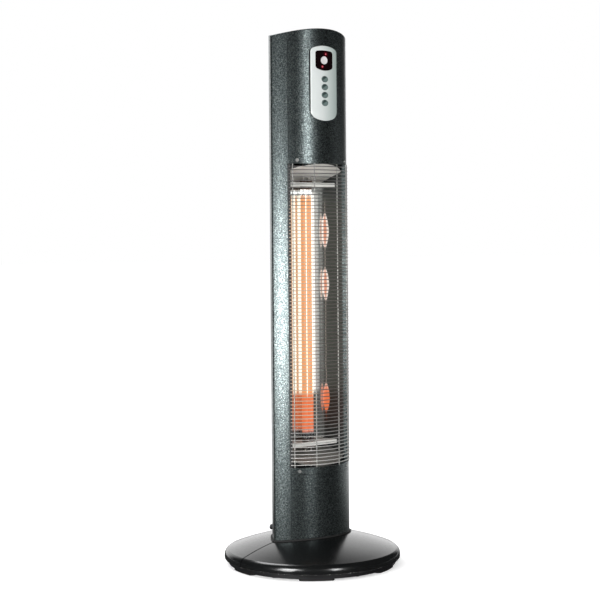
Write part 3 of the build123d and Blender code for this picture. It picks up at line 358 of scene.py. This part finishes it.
def fascia_silver():
    """Silver paint with a painted highlight, lighter on the left than on the right, and a painted shadow,
    near black, on the edge wall round it.
    """
    p = Paint("fascia_silver")
    flake = p.noise(1500.0, 2.0, 0.6)
    cloud = p.noise(22.0, 2.0, 0.5)
    # Painted shadow: where the surface turns away from the front, on the fascia's edge wall, it is near
    # black.
    edge_shadow = p.step(p.facing((0.0, -1.0, 0.0)), 0.30, 0.45, 1.0, 0.0)
    # Painted highlight: the silver is lighter on the left and darker towards the right, as the light falls
    # across the fascia.
    painted_highlight_tone = p.ramp(p.math("MULTIPLY_ADD", p.axis("X"), 10.0, 0.5), (0.16, (0.80, 0.83, 0.82)),
                   (0.40, (0.74, 0.77, 0.76)), (0.62, (0.52, 0.58, 0.56)), (0.78, (0.34, 0.41, 0.39)))
    silver = p.mix(1.0, painted_highlight_tone, p.mix(flake, (0.82, 0.85, 0.84), (1.0, 1.0, 1.0)), "MULTIPLY")
    p.set(Base_Color=p.mix(edge_shadow, silver, (0.010, 0.012, 0.012)), Metallic=0.25,
          Roughness=p.ramp(cloud, (0.3, 0.28), (0.7, 0.34)))
    p.bump(flake, 0.10, 0.00005)
    return p


def key_paint():
    """Grey-green keys, with a painted shade on the upper left of each dish."""
    p = Paint("key_paint")
    fine = p.noise(500.0, 3.0, 0.6)
    # Painted shade where the dish faces down and to the right, which is its upper left.
    shade = p.step(p.facing((0.50, 0.0, -0.86)), -0.02, 0.08)
    p.set(Base_Color=p.mix(shade, p.mix(fine, (0.085, 0.125, 0.118), (0.130, 0.175, 0.165)),
                           (0.020, 0.036, 0.034)),
          Roughness=p.ramp(fine, (0.3, 0.38), (0.7, 0.28)))
    p.bump(fine, 0.08, 0.0001)
    return p


def dark_window():
    """Smoked plastic with a painted red glow round each of its two lights."""
    p = Paint("dark_window")
    x, z = p.axis("X"), p.axis("Z")
    painted_glows = []
    for at_x, at_z, reach, power in WINDOW_LIGHTS:
        far = p.math("SQRT", p.math("ADD", p.math("POWER", p.math("SUBTRACT", x, at_x), 2.0),
                                    p.math("POWER", p.math("SUBTRACT", z, at_z), 2.0)))
        painted_glows.append(p.math("MULTIPLY", p.math("POWER", p.step(far, 0.0, reach, 1.0, 0.0), 2.0), power))
    smear = p.noise(120.0, 3.0, 0.5)
    p.set(Base_Color=(0.004, 0.001, 0.0015), Roughness=p.ramp(smear, (0.3, 0.08), (0.7, 0.14)),
          Specular_IOR_Level=0.3, Emission_Color=(0.75, 0.01, 0.05), Emission_Strength=p.total(*painted_glows))
    return p


dress(powder_coat(), "rear_shell", "lower_front_panel", "upper_front_panel", "upper_band", "lower_band",
      "top_cap")
dress(base_cover(), "base_front_half", "base_rear_half")
dress(tray_paint(), "base_tray")
dress(plain("black_rubber", (0.006, 0.006, 0.006), (0.016, 0.016, 0.016), 0.7, 700.0, 0.3),
      "foot_pads", "column_gasket", "loom", "mains_lead", "ribbon")
dress(plain("lead_sleeve", (0.45, 0.42, 0.38), (0.6, 0.57, 0.52), 0.6), "lamp_leads")
dress(plain("cast_weight", (0.03, 0.03, 0.03), (0.09, 0.09, 0.09), 0.7, 250.0, 0.6, 0.0005, 0.3), "ballast")
dress(brushed("zinc_steel", (0.45, 0.46, 0.47), (0.65, 0.66, 0.67), 0.35, (90.0, 90.0, 900.0)),
      "column_foot", "column_bolts", "guard_clips", "base_screws", "back_screws", "panel_screws",
      "upper_baffle", "lower_baffle", "tilt_pin", "transformer")
dress(brushed("bright_screw", (0.42, 0.43, 0.42), (0.60, 0.60, 0.58), 0.35, (600.0, 600.0, 90.0)),
      "guard_screws")
dress(guard_wire(), "guard_cross_wires")
dress(plain("upright_wire", (0.26, 0.26, 0.25), (0.38, 0.38, 0.36), 0.35, 900.0, 0.1, 0.00005, 0.45),
      "guard_uprights")
# The guard rails are near black, a dark part put where the wires show dark at the guard's edges: a painted
# shade.
dress(plain("rail_paint", (0.008, 0.009, 0.009), (0.018, 0.019, 0.019), 0.45), "guard_rails")
dress(reflector_sheet(), "reflector")
dress(plain("top_plate", (0.64, 0.63, 0.60), (0.78, 0.76, 0.72), 0.45, 160.0, 0.06, metal=0.1),
      "reflector_top_plate")
dress(plain("bottom_plate", (0.17, 0.168, 0.155), (0.25, 0.245, 0.225), 0.40, 160.0, 0.06, metal=0.3),
      "reflector_bottom_plate")
dress(plain("bracket_white", (0.80, 0.80, 0.76), (0.92, 0.92, 0.88), 0.35, 300.0, 0.1, metal=0.1),
      "lamp_bracket_top", "lamp_bracket_bottom")
dress(plain("lamp_ceramic", (0.035, 0.016, 0.012), (0.080, 0.040, 0.030), 0.6), "lamp_caps", "thermal_cutout")
dress(quartz(), "quartz_tubes")
dress(glow("carbon_glow", 0.237, 0.664, 0.02, (1.0, 0.36, 0.10), (1.0, 0.62, 0.30), 1.0), "filaments")
dress(fascia_silver(), "fascia")
dress(dark_window(), "window")
dress(glow("red_light", 0.88, 0.93, 0.001, (0.9, 0.06, 0.12), (1.0, 0.20, 0.25), 0.6), "light_pipes")
dress(plain("button_pale", (0.46, 0.44, 0.44), (0.62, 0.60, 0.60), 0.35, 500.0, 0.1), "power_button")
dress(key_paint(), "key_1", "key_2", "key_3", "key_4")
dress(plain("board_green", (0.01, 0.08, 0.03), (0.02, 0.14, 0.05), 0.35), "control_board", "power_board")
dress(plain("inner_plastic", (0.02, 0.02, 0.022), (0.04, 0.04, 0.042), 0.45), "board_posts",
      "power_board_posts", "switches", "relays", "terminal_block", "loom_clips", "tilt_housing",
      "cable_gland", "gland_nut")
dress(brushed("bob_brass", (0.50, 0.36, 0.12), (0.72, 0.54, 0.22), 0.25, (300.0, 300.0, 60.0)),
      "tilt_pendulum")


# ---------------------------------------------------------------- floor, world and lights
def heading(azimuth):
    """Level unit vector towards an azimuth round the tower, 0 in front of it and positive to its right."""
    a = math.radians(azimuth)
    return Vector((math.sin(a), -math.cos(a), 0.0))


def ray_kinds(graph):
    """1 for rays from the camera, and 1 for rays from a mirror or through glass."""
    path = graph.node("ShaderNodeLightPath").outputs
    return path["Is Camera Ray"], graph.math("MAXIMUM", path["Is Glossy Ray"], path["Is Transmission Ray"])


def stage_floor():
    """Pale paper, lifted to white for the camera; in mirrors it is dark in front of the tower."""
    half = 30.0
    corners = [(-half, -half, 0), (half, -half, 0), (half, half, 0), (-half, half, 0)]
    mesh = bpy.data.meshes.new("floor")
    mesh.from_pydata(corners, [], [(0, 1, 2, 3)])
    floor = bpy.data.objects.new("floor", mesh)
    bpy.context.collection.objects.link(floor)
    p = Paint("floor_paper")
    p.tree.nodes.remove(p.bsdf)
    paper = p.node("ShaderNodeBsdfDiffuse")
    lift = p.node("ShaderNodeEmission")
    both = p.node("ShaderNodeAddShader")
    seen, mirrored = ray_kinds(p)
    behind = p.step(p.along(heading(CAMERA_AZIMUTH + 180.0)), 0.10, 1.20)
    shade = p.math("SUBTRACT", 1.0, p.product(mirrored, p.math("SUBTRACT", 1.0, behind)))
    p.feed(paper.inputs[0], p.mix(shade, (0.05, 0.05, 0.05), p.ramp(p.noise(6.0), (0.3, 0.80), (0.7, 0.82))))
    p.feed(lift.inputs["Strength"], p.product(p.math("MAXIMUM", seen, mirrored), shade, FLOOR_LIFT))
    p.feed(both.inputs[0], paper.outputs[0])
    p.feed(both.inputs[1], lift.outputs[0])
    p.feed(p.out.inputs[0], both.outputs[0])
    mesh.materials.append(p.mat)


def stage_world():
    """White for the camera; mirrors and glass see a room that is bright behind and to the left, else dark."""
    world = bpy.data.worlds.new("studio")
    bpy.context.scene.world = world
    world.use_nodes = True
    g = Graph(world.node_tree, "Generated")
    back = g.node("ShaderNodeBackground")
    out = g.node("ShaderNodeOutputWorld")
    height = g.axis("Z")
    low = g.step(height, 0.45, 0.90, 1.0, WORLD_CEILING)
    level_part = g.math("SQRT", g.math("MAXIMUM", 0.01, g.math("SUBTRACT", 1.0, g.product(height, height))))
    towards = g.math("DIVIDE", g.along(heading(WORLD_BACK_AZIMUTH)), level_part)
    behind = g.product(g.step(towards, 0.74, 0.95), low, WORLD_BACK)
    left = g.product(g.step(g.along(heading(WORLD_LEFT_AZIMUTH)), 0.90, 0.99), WORLD_LEFT)
    seen, mirrored = ray_kinds(g)
    level = g.mix_number(mirrored, WORLD_DIFFUSE, g.total(WORLD_FRONT, behind, left))
    g.feed(back.inputs["Color"], (1.0, 1.0, 1.0))
    g.feed(back.inputs["Strength"], g.mix_number(seen, level, 1.0))
    g.feed(out.inputs[0], back.outputs[0])


def softbox(name, azimuth, height, distance, width, tall, power, target_z):
    """An area light at an azimuth round the tower, facing its axis at a height."""
    light = bpy.data.lights.new(name, "AREA")
    light.shape = "RECTANGLE"
    light.size = width
    light.size_y = tall
    light.energy = power
    lamp = bpy.data.objects.new(name, light)
    bpy.context.collection.objects.link(lamp)
    lamp.location = distance * heading(azimuth) + Vector((0.0, TOWER_Y, height))
    aim = Vector((0.0, TOWER_Y, target_z)) - lamp.location
    lamp.rotation_euler = aim.to_track_quat("-Z", "Y").to_euler()


stage_floor()
stage_world()
# Each with its azimuth, height, distance, width, length, power in watts, and the height it is aimed at
softbox("front_strip", -8.0, 0.66, 2.4, 0.34, 1.00, 18.0, 0.65)
softbox("left_box", -64.0, 0.42, 1.3, 0.42, 0.38, 9.0, 0.43)
softbox("low_box", -72.0, 0.30, 3.0, 0.9, 0.35, 12.0, 0.05)
softbox("top_box", -150.0, 3.2, 1.6, 1.6, 1.6, 50.0, 0.3)


# ---------------------------------------------------------------- camera
def stage_camera():
    ahead = -heading(CAMERA_AZIMUTH)
    right = heading(CAMERA_AZIMUTH + 90.0)
    data = bpy.data.cameras.new("camera")
    data.sensor_fit = "HORIZONTAL"
    data.sensor_width = SENSOR
    data.lens = FOCAL_PIXELS / IMAGE_SIDE * SENSOR
    data.shift_x = ASIDE_SHIFT
    data.shift_y = HORIZON_PIXELS / IMAGE_SIDE
    data.clip_end = 200.0
    camera = bpy.data.objects.new("camera", data)
    bpy.context.collection.objects.link(camera)
    place = Vector((0.0, TOWER_Y, CAMERA_HEIGHT)) - CAMERA_DISTANCE * ahead + CAMERA_ASIDE * right
    level = Matrix((right, Vector((0.0, 0.0, 1.0)), -ahead)).transposed().to_4x4()
    roll = Matrix.Rotation(math.radians(CAMERA_ROLL), 4, "Z")
    camera.matrix_world = Matrix.Translation(place) @ level @ roll
    bpy.context.scene.camera = camera


stage_camera()
bpy.context.scene.view_settings.view_transform = "Standard"
